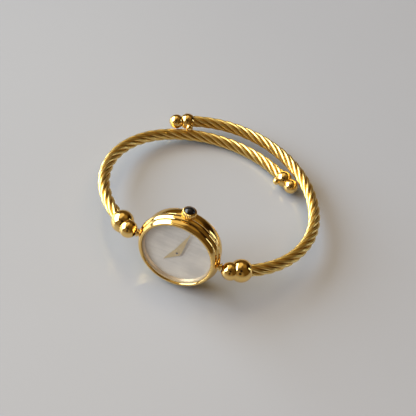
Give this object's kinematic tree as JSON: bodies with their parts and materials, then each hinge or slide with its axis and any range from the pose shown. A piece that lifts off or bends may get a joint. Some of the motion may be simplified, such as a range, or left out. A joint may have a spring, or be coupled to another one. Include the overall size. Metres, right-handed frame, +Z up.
{
  "type": "bangle watch",
  "caption": "Ladies' bangle watch: small round ribbed case on two open twisted-cable arms that end in polished ball finials.",
  "frame": {"origin": "centre of the footprint, on the floor that the watch lies on", "axes": "+X from the watch's 12 o'clock lug towards its 6 o'clock lug, +Y from the dial towards the back of the bangle, +Z up, the side the crown is on; the bangle tips back by about eleven degrees as it rests"},
  "size_m": [0.0678, 0.063, 0.0264],
  "materials": {
    "gold": "polished yellow gold plate",
    "pale_gold": "pale gold, satin",
    "crystal": "clear mineral glass",
    "gasket": "plain black rubber",
    "pearl": "grey pearl lacquer with a soft sheen",
    "steel": "plain steel",
    "white_plastic": "moulded white plastic",
    "plate_brass": "plain brass",
    "board": "green circuit board",
    "copper": "enamelled copper wire",
    "black_plastic": "moulded black resin",
    "magnet": "dark sintered magnet on a steel arbor",
    "black_stone": "polished black cabochon"
  },
  "bodies": {
    "head": {"battery": "steel", "battery_clamp": "steel", "bezel": "gold", "case_back": "steel", "case_back_gasket": "gasket", "case_band": "gold", "chip": "black_plastic", "circuit_board": "board", "coil_core": "steel", "coil_winding": "copper", "crown_tube": "gold", "crystal": "crystal", "crystal_gasket": "gasket", "dial": "pearl", "flange_ring": "pale_gold", "left_lug_neck": "gold", "main_plate": "plate_brass", "movement_ring": "white_plastic", "movement_screws": "steel", "quartz_can": "steel", "right_lug_neck": "gold", "stator": "steel", "train_bridge": "plate_brass"},
    "left_arm": {"left_cable_core": "gold", "left_cable_strands": "gold", "left_end_ball": "gold", "left_end_bead": "gold", "left_ferrule_bead": "gold", "left_hinge_pin": "steel", "left_knuckle_bead": "gold", "left_tip_bead": "gold"},
    "right_arm": {"right_cable_core": "gold", "right_cable_strands": "gold", "right_end_ball": "gold", "right_end_bead": "gold", "right_ferrule_bead": "gold", "right_hinge_pin": "steel", "right_knuckle_bead": "gold", "right_tip_bead": "gold"},
    "puller": {"pull_out_piece": "steel"},
    "crown": {"crown": "gold", "crown_cabochon": "black_stone", "crown_gasket": "gasket", "winding_stem": "steel"},
    "sliding_pinion": {"sliding_pinion": "steel"},
    "minute_works": {"centre_wheel": "plate_brass", "minute_hand": "pale_gold"},
    "hour_works": {"hour_wheel": "plate_brass", "hour_hand": "pale_gold"},
    "minute_wheel": {"minute_wheel": "plate_brass"},
    "third_wheel": {"third_wheel": "plate_brass"},
    "intermediate_wheel": {"intermediate_wheel": "plate_brass"},
    "rotor": {"rotor": "magnet"}
  },
  "joints": [
    {"name": "right_arm_flex", "type": "hinge", "parent": "head", "child": "right_arm", "pos_m": [0.0156, -0.02674, 0.01183], "axis": [-0.0198, -0.1971, -0.9802], "range_deg": [0, 20], "stiffness_Nm_per_rad": 0.5},
    {"name": "left_arm_flex", "type": "hinge", "parent": "head", "child": "left_arm", "pos_m": [-0.0154, -0.02662, 0.01243], "axis": [0.0198, 0.1971, 0.9802], "range_deg": [0, 8]},
    {"name": "crown_pull", "type": "slide", "parent": "head", "child": "puller", "axis": [0.0198, 0.1971, 0.9802], "range_m": [0, 0.0008]},
    {"name": "crown_turn", "type": "hinge", "parent": "puller", "child": "crown", "pos_m": [0.0001, -0.02531, 0.01186], "axis": [0.0198, 0.1971, 0.9802], "continuous": true},
    {"name": "sliding_pinion_turn", "type": "hinge", "parent": "head", "child": "sliding_pinion", "pos_m": [0.0001, -0.02531, 0.01186], "axis": [0.0198, 0.1971, 0.9802], "continuous": true},
    {"name": "minute_hand_turn", "type": "hinge", "parent": "head", "child": "minute_works", "pos_m": [0.0001, -0.0257, 0.01194], "axis": [0, 0.9804, -0.1972], "continuous": true},
    {"name": "hour_hand_turn", "type": "hinge", "parent": "head", "child": "hour_works", "pos_m": [0.0001, -0.0257, 0.01194], "axis": [0, 0.9804, -0.1972], "continuous": true},
    {"name": "minute_wheel_turn", "type": "hinge", "parent": "head", "child": "minute_wheel", "pos_m": [-0.00068, -0.02525, 0.01416], "axis": [0, 0.9804, -0.1972], "continuous": true},
    {"name": "third_wheel_turn", "type": "hinge", "parent": "head", "child": "third_wheel", "pos_m": [-0.00119, -0.02612, 0.00984], "axis": [0, 0.9804, -0.1972], "continuous": true},
    {"name": "intermediate_wheel_turn", "type": "hinge", "parent": "head", "child": "intermediate_wheel", "pos_m": [-0.00331, -0.026, 0.01044], "axis": [0, 0.9804, -0.1972], "continuous": true},
    {"name": "rotor_turn", "type": "hinge", "parent": "head", "child": "rotor", "pos_m": [-0.00418, -0.02556, 0.01263], "axis": [0, 0.9804, -0.1972], "continuous": true}
  ],
  "couplings": [
    {"joint": "left_arm_flex", "follows": "right_arm_flex", "ratio": 0.35},
    {"joint": "sliding_pinion_turn", "follows": "crown_turn", "ratio": 1},
    {"joint": "hour_hand_turn", "follows": "minute_hand_turn", "ratio": 0.083333},
    {"joint": "minute_wheel_turn", "follows": "minute_hand_turn", "ratio": -0.33333},
    {"joint": "third_wheel_turn", "follows": "minute_hand_turn", "ratio": -4},
    {"joint": "intermediate_wheel_turn", "follows": "minute_hand_turn", "ratio": 18},
    {"joint": "rotor_turn", "follows": "minute_hand_turn", "ratio": -90}
  ]
}
